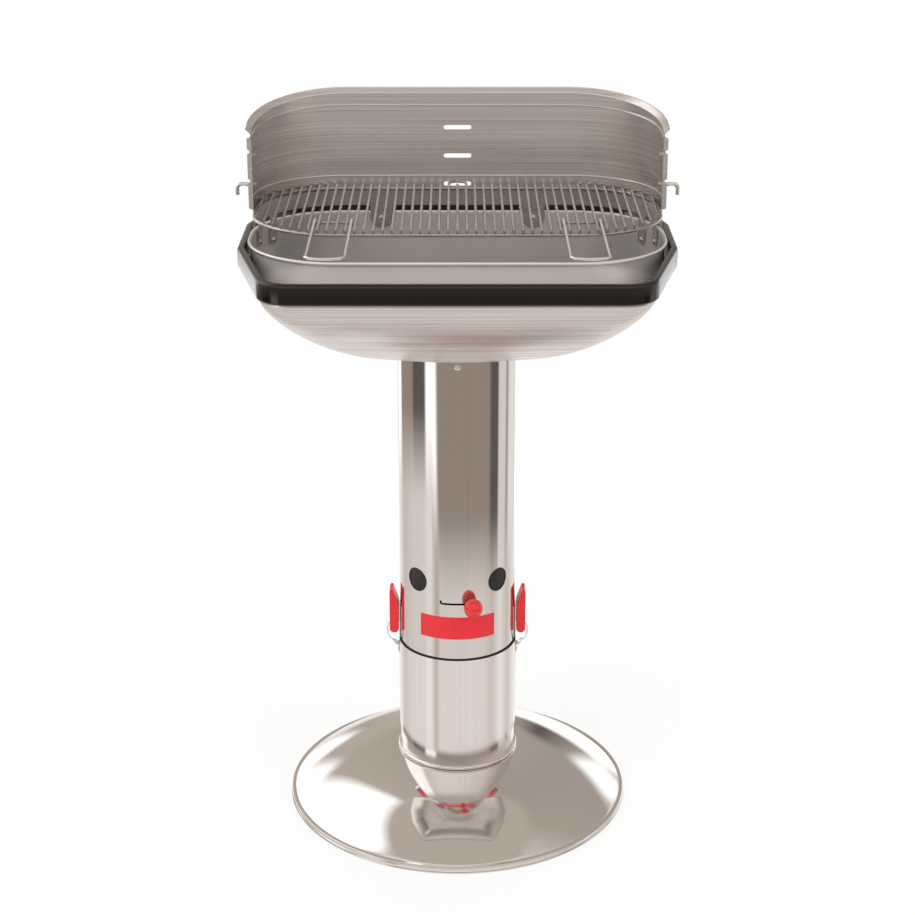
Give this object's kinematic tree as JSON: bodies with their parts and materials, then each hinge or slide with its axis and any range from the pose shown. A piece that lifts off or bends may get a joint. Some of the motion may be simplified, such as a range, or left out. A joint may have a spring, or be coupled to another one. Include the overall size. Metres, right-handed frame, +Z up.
{
  "type": "pedestal charcoal grill",
  "caption": "Pedestal grill with an angular bowl, a sliding wire grid with folding handles, a curved windscreen, a turning damper and a latched ash pot on a dished foot.",
  "frame": {"origin": "on the floor, on the axis of the column", "axes": "+Z up, +Y away from the cook towards the windscreen, +X to the cook's right"},
  "size_m": [0.5832, 0.5109, 0.9959],
  "materials": {
    "polished_steel": "mirror polished stainless sheet",
    "pot_steel": "polished stainless sheet, slightly duller",
    "brushed_steel": "satin brushed stainless sheet",
    "ring_steel": "satin stainless sheet",
    "grid_wire": "plated wire",
    "handle_wire": "bright plated wire",
    "charcoal_iron": "dark heatproof enamel on wire",
    "damper_steel": "dark satin sheet",
    "latch_steel": "bright sheet",
    "fastener_steel": "bright turned steel",
    "guard_black": "satin moulded, heatproof",
    "seal_black": "matt",
    "grip_red": "satin gloss moulded",
    "knob_red": "high gloss ball",
    "label_red": "satin lacquer"
  },
  "bodies": {
    "stand": {"base_dish": "polished_steel", "foot_bolts": "fastener_steel", "foot_nuts": "fastener_steel", "ash_pot": "pot_steel", "pot_seal": "seal_black", "column": "polished_steel", "column_screws": "fastener_steel", "column_nuts": "fastener_steel", "label_plate": "label_red", "bowl": "brushed_steel", "bowl_collar": "brushed_steel", "rim_guard": "guard_black", "fire_ring": "ring_steel", "charcoal_frame": "charcoal_iron", "charcoal_rods": "charcoal_iron", "windscreen": "brushed_steel", "screen_edge_left": "brushed_steel", "screen_edge_right": "brushed_steel", "screen_rim": "brushed_steel", "screen_bolts": "fastener_steel", "screen_nuts": "fastener_steel", "hook_left": "handle_wire", "hook_right": "handle_wire", "latch_base_left": "latch_steel", "latch_base_right": "latch_steel", "latch_pivot_left": "fastener_steel", "latch_pivot_right": "fastener_steel", "latch_rivets_left": "fastener_steel", "latch_rivets_right": "fastener_steel", "pot_catch_left": "latch_steel", "pot_catch_right": "latch_steel", "catch_rivets": "fastener_steel"},
    "damper": {"damper_ring": "damper_steel", "damper_lever": "latch_steel", "damper_rivets": "fastener_steel", "damper_knob": "knob_red"},
    "cooking_grid": {"grid_frame": "grid_wire", "grid_rods": "grid_wire", "grid_loop": "grid_wire", "grid_crosswires": "grid_wire"},
    "grid_handle_left": {"handle_left": "handle_wire"},
    "grid_handle_right": {"handle_right": "handle_wire"},
    "lever_left": {"latch_grip_left": "grip_red", "latch_liners_left": "latch_steel", "latch_link_pin_left": "fastener_steel"},
    "draw_left": {"draw_hook_left": "latch_steel"},
    "lever_right": {"latch_grip_right": "grip_red", "latch_liners_right": "latch_steel", "latch_link_pin_right": "fastener_steel"},
    "draw_right": {"draw_hook_right": "latch_steel"}
  },
  "joints": [
    {"name": "damper_turn", "type": "hinge", "parent": "stand", "child": "damper", "pos_m": [0, 0, 0.355], "axis": [0, 0, 1], "range_deg": [-26, 0]},
    {"name": "grid_slide", "type": "slide", "parent": "stand", "child": "cooking_grid", "axis": [0, -1, 0], "range_m": [0, 0.25]},
    {"name": "grid_handle_left_hinge", "type": "hinge", "parent": "cooking_grid", "child": "grid_handle_left", "pos_m": [-0.1593, -0.069, 0.85925], "axis": [-1, 0, 0], "range_deg": [0, 100]},
    {"name": "lever_left_hinge", "type": "hinge", "parent": "stand", "child": "lever_left", "pos_m": [-0.08925, 0, 0.2582], "axis": [0, -1, 0], "range_deg": [0, 75]},
    {"name": "draw_left_hinge", "type": "hinge", "parent": "lever_left", "child": "draw_left", "pos_m": [-0.08645, 0, 0.2852], "axis": [0, -1, 0], "range_deg": [-75, 0]},
    {"name": "grid_handle_right_hinge", "type": "hinge", "parent": "cooking_grid", "child": "grid_handle_right", "pos_m": [0.1593, -0.069, 0.85925], "axis": [-1, 0, 0], "range_deg": [0, 100]},
    {"name": "lever_right_hinge", "type": "hinge", "parent": "stand", "child": "lever_right", "pos_m": [0.08925, 0, 0.2582], "axis": [0, 1, 0], "range_deg": [0, 75]},
    {"name": "draw_right_hinge", "type": "hinge", "parent": "lever_right", "child": "draw_right", "pos_m": [0.08645, 0, 0.2852], "axis": [0, 1, 0], "range_deg": [-75, 0]}
  ],
  "couplings": [
    {"joint": "draw_left_hinge", "follows": "lever_left_hinge", "ratio": -1},
    {"joint": "draw_right_hinge", "follows": "lever_right_hinge", "ratio": -1}
  ]
}
